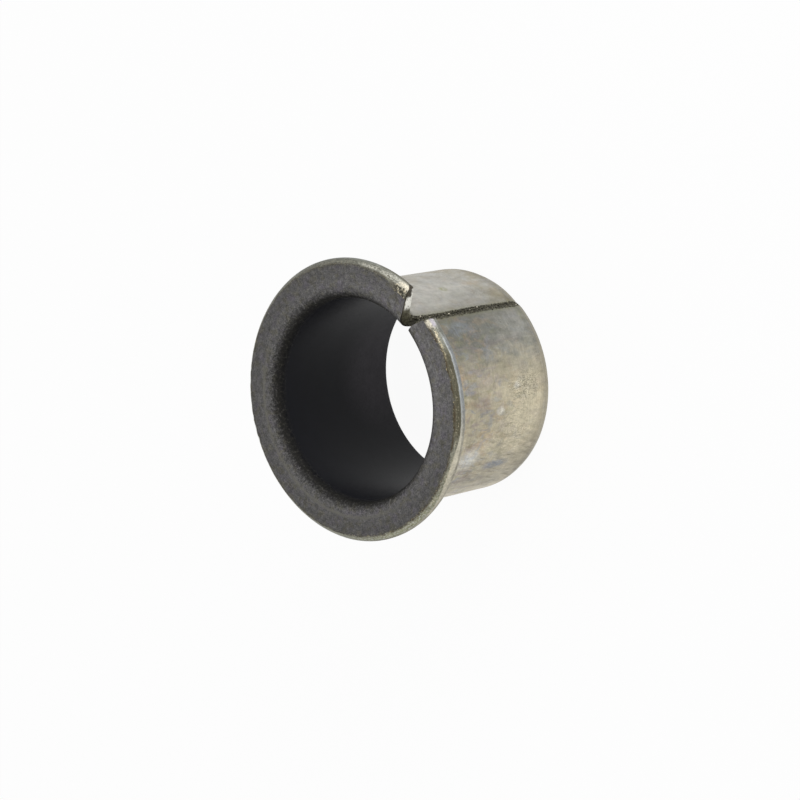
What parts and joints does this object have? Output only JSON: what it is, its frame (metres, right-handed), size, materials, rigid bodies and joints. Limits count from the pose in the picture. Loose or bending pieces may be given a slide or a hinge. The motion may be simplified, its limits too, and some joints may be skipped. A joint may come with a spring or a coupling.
{
  "type": "flanged bushing",
  "caption": "Split flanged plain bushing: a lined steel strip rolled into a tube with a butt seam and one end flared into a flange with a V notch, for a turning shaft and its shoulder.",
  "frame": {"origin": "centre of the bore at the plain end of the tube, on which the bushing stands", "axes": "+Z along the bore axis from the plain end to the lined face of the flange; the seam and the notch face -Y"},
  "size_m": [0.042, 0.0418, 0.026],
  "materials": {
    "plated_steel": "dull plated steel with heat tints, fine drawing marks and small pits",
    "sliding_lining": "dark speckled sliding layer, satin in the bore and dry on the flange",
    "sheared_edge": "bare sheared edge where the bronze under the lining shows"
  },
  "bodies": {
    "root": {"flanged_bushing": "plated_steel"}
  },
  "joints": []
}
